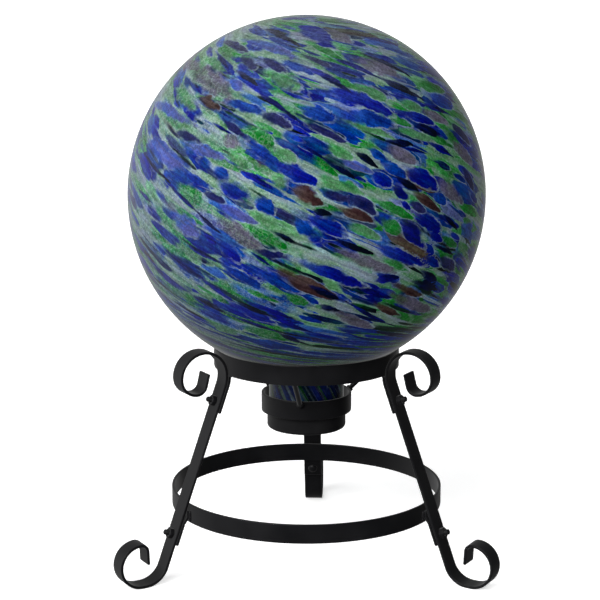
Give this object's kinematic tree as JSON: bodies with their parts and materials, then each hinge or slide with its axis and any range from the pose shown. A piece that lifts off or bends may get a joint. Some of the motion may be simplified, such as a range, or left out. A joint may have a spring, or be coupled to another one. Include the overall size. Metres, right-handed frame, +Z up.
{
  "type": "gazing globe on a stand",
  "caption": "Garden gazing globe of swirled blown glass, resting neck down in a black scroll-leg stand of bent flat steel bar with braced rings.",
  "frame": {"origin": "ground level, below the middle of the part's box; the globe's and the rings' common axis stands 12.9 mm towards -Y", "axes": "+Z up, -Y towards the front, where two legs stand left and right; +X to the right seen from the front"},
  "size_m": [0.2712, 0.2798, 0.3946],
  "materials": {
    "swirled_glass": "glossy blown glass with swirled flecks of coloured glass, opaque to the eye",
    "black_steel": "black satin powder coat on bent steel bar",
    "black_plastic": "black moulded plastic, satin"
  },
  "bodies": {
    "root": {"glass_globe": "swirled_glass", "neck_cap": "black_plastic", "upper_ring": "black_steel", "neck_ring": "black_steel", "lower_ring": "black_steel", "neck_strut_front": "black_steel", "neck_strut_right": "black_steel", "neck_strut_left": "black_steel", "leg_left": "black_steel", "leg_right": "black_steel", "leg_back": "black_steel", "upper_tab_left": "black_steel", "upper_tab_right": "black_steel", "upper_tab_back": "black_steel", "lower_tab_left": "black_steel", "lower_tab_right": "black_steel", "lower_tab_back": "black_steel", "upper_bolt_left": "black_steel", "upper_bolt_right": "black_steel", "upper_bolt_back": "black_steel", "lower_bolt_left": "black_steel", "lower_bolt_right": "black_steel", "lower_bolt_back": "black_steel", "upper_nut_left": "black_steel", "upper_nut_right": "black_steel", "upper_nut_back": "black_steel", "lower_nut_left": "black_steel", "lower_nut_right": "black_steel", "lower_nut_back": "black_steel"}
  },
  "joints": []
}
